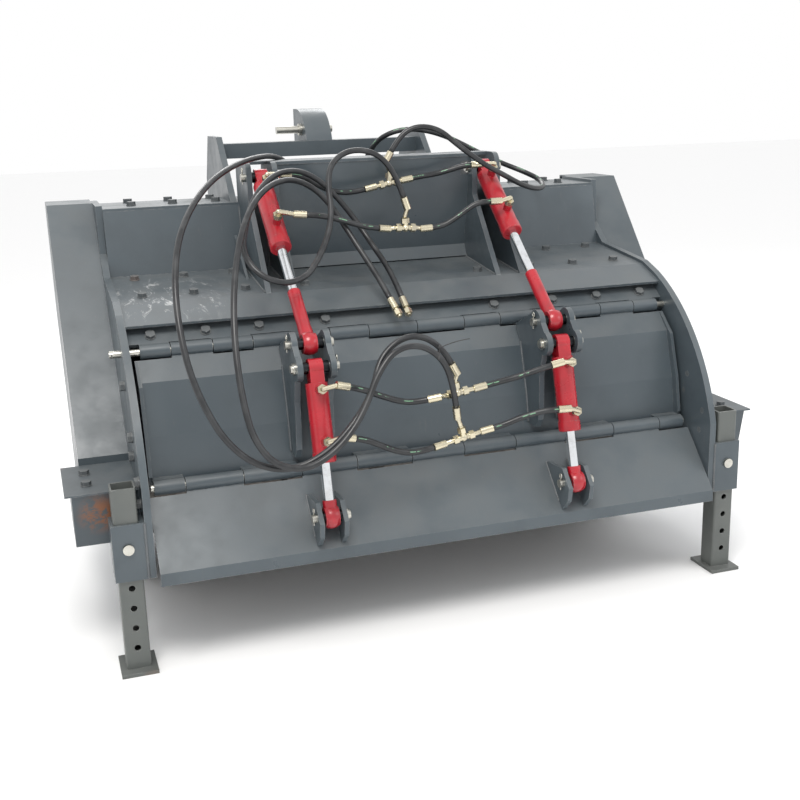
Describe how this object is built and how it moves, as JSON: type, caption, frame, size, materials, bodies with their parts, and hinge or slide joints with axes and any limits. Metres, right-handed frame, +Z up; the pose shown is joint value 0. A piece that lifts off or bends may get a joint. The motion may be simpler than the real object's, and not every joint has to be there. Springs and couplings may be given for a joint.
{
  "type": "tractor-mounted forestry mulcher with two-stage rear hood",
  "caption": "Three-point-hitch rotary mulcher with a hydraulic rear hood and flap, belt-driven rotor, and pinned parking legs.",
  "frame": {"origin": "middle of the machine's plan box, on the ground under the feet", "axes": "+X to the right seen from behind, +Y forwards to the tractor, +Z up"},
  "size_m": [2.594, 1.7352, 1.78],
  "materials": {
    "paint": "semi-gloss slate grey paint",
    "leg_paint": "thin olive-grey paint",
    "red_paint": "gloss crimson paint",
    "chrome_rod": "polished hard chrome",
    "zinc": "pale yellow zinc plate",
    "pin_steel": "zinc-plated turned steel",
    "cast": "painted casting",
    "machined": "machined steel",
    "rotor_steel": "dark worn steel",
    "belt_rubber": "matt rubber",
    "curtain_rubber": "matt rubber sheet",
    "hose_rubber": "smooth black hose cover"
  },
  "bodies": {
    "root": {"side_plate_left": "paint", "side_plate_right": "paint", "deck_plate": "paint", "rear_wall": "paint", "front_cover": "paint", "front_beam": "paint", "rotor_housing": "paint", "front_curtain": "curtain_rubber", "skid_shoes": "paint", "tower_frame": "paint", "tower_pins": "pin_steel", "hitch_frame": "paint", "gearbox_housing": "cast", "drive_belts": "belt_rubber", "shaft_bearings": "cast", "drive_covers": "paint", "drive_boxes": "paint", "leg_sleeves": "paint", "parking_legs": "leg_paint", "hinge_leaf": "paint", "upper_hinge_pin": "pin_steel", "frame_bolts": "paint", "hose_couplings": "zinc", "hose_upper_rod_supply": "hose_rubber", "hose_upper_base_supply": "hose_rubber", "hose_lower_rod_supply": "hose_rubber", "hose_lower_base_supply": "hose_rubber"},
    "rotor": {"rotor_drum": "rotor_steel", "rotor_teeth": "rotor_steel", "lower_pulleys": "cast"},
    "cross_drive": {"cross_shaft": "machined", "upper_pulleys": "cast"},
    "input_drive": {"input_shaft": "machined"},
    "hood": {"hood_shell": "paint", "hood_ears": "paint", "hood_pins": "pin_steel", "lower_hinge_pin": "pin_steel", "lower_tees": "zinc", "hose_lower_base_left": "hose_rubber", "hose_lower_base_right": "hose_rubber", "hose_lower_rod_left": "hose_rubber", "hose_lower_rod_right": "hose_rubber"},
    "flap": {"flap_plate": "paint", "flap_ears": "paint", "flap_pins": "pin_steel"},
    "upper_barrel": {"upper_barrels": "red_paint", "upper_fittings": "zinc", "hose_upper_rod_left": "hose_rubber", "hose_upper_rod_right": "hose_rubber", "hose_upper_base_left": "hose_rubber", "hose_upper_base_right": "hose_rubber"},
    "upper_rod": {"upper_rods": "chrome_rod", "upper_rod_eyes": "red_paint"},
    "lower_barrel": {"lower_barrels": "red_paint", "lower_fittings": "zinc"},
    "lower_rod": {"lower_rods": "chrome_rod", "lower_rod_eyes": "red_paint"},
    "pin_left": {"leg_pin_left": "pin_steel"},
    "pin_right": {"leg_pin_right": "pin_steel"},
    "link_pin": {"top_link_pin": "pin_steel"}
  },
  "joints": [
    {"name": "hood_hinge", "type": "hinge", "parent": "root", "child": "hood", "pos_m": [0, -0.35511, 1.0015], "axis": [-1, 0, 0], "range_deg": [0, 35], "deforming": ["hose_lower_rod_supply", "hose_lower_base_supply"]},
    {"name": "flap_hinge", "type": "hinge", "parent": "hood", "child": "flap", "pos_m": [0, -0.55511, 0.5775], "axis": [-1, 0, 0], "range_deg": [-10, 25]},
    {"name": "upper_barrel_pivot", "type": "hinge", "parent": "root", "child": "upper_barrel", "pos_m": [0, 0.08889, 1.539], "axis": [-1, 0, 0], "range_deg": [0, 5.04], "deforming": ["hose_upper_rod_supply", "hose_upper_base_supply"]},
    {"name": "upper_rod_slide", "type": "slide", "parent": "upper_barrel", "child": "upper_rod", "axis": [0, -0.7831, -0.6219], "range_m": [-0.1052, 0]},
    {"name": "lower_barrel_pivot", "type": "hinge", "parent": "hood", "child": "lower_barrel", "pos_m": [0, -0.62611, 0.953], "axis": [-1, 0, 0], "range_deg": [-2.98, 7.45], "deforming": ["hose_lower_base_left", "hose_lower_base_right", "hose_lower_rod_left", "hose_lower_rod_right"]},
    {"name": "lower_rod_slide", "type": "slide", "parent": "lower_barrel", "child": "lower_rod", "axis": [0, -0.2626, -0.9649], "range_m": [-0.0792, 0.032]},
    {"name": "rotor_spin", "type": "hinge", "parent": "root", "child": "rotor", "pos_m": [0, 0.00189, 0.42], "axis": [-1, 0, 0], "continuous": true},
    {"name": "cross_spin", "type": "hinge", "parent": "root", "child": "cross_drive", "pos_m": [0, 0.46189, 1.1], "axis": [-1, 0, 0], "continuous": true},
    {"name": "input_spin", "type": "hinge", "parent": "root", "child": "input_drive", "pos_m": [-0.095, 0.46189, 1.1], "axis": [0, 1, 0], "continuous": true},
    {"name": "leg_pin_pull_left", "type": "slide", "parent": "root", "child": "pin_left", "axis": [0, -1, 0], "range_m": [0, 0.125]},
    {"name": "leg_pin_pull_right", "type": "slide", "parent": "root", "child": "pin_right", "axis": [0, -1, 0], "range_m": [0, 0.125]},
    {"name": "top_link_pin_pull", "type": "slide", "parent": "root", "child": "link_pin", "axis": [-1, 0, 0], "range_m": [0, 0.16]}
  ],
  "couplings": [
    {"joint": "upper_barrel_pivot", "follows": "hood_hinge", "ratio": 0.14395},
    {"joint": "upper_rod_slide", "follows": "hood_hinge", "m_per_rad": -0.17144},
    {"joint": "lower_barrel_pivot", "follows": "flap_hinge", "ratio": 0.29806},
    {"joint": "lower_rod_slide", "follows": "flap_hinge", "m_per_rad": -0.18028},
    {"joint": "cross_spin", "follows": "rotor_spin", "ratio": 0.81818},
    {"joint": "input_spin", "follows": "rotor_spin", "ratio": -0.81818}
  ]
}
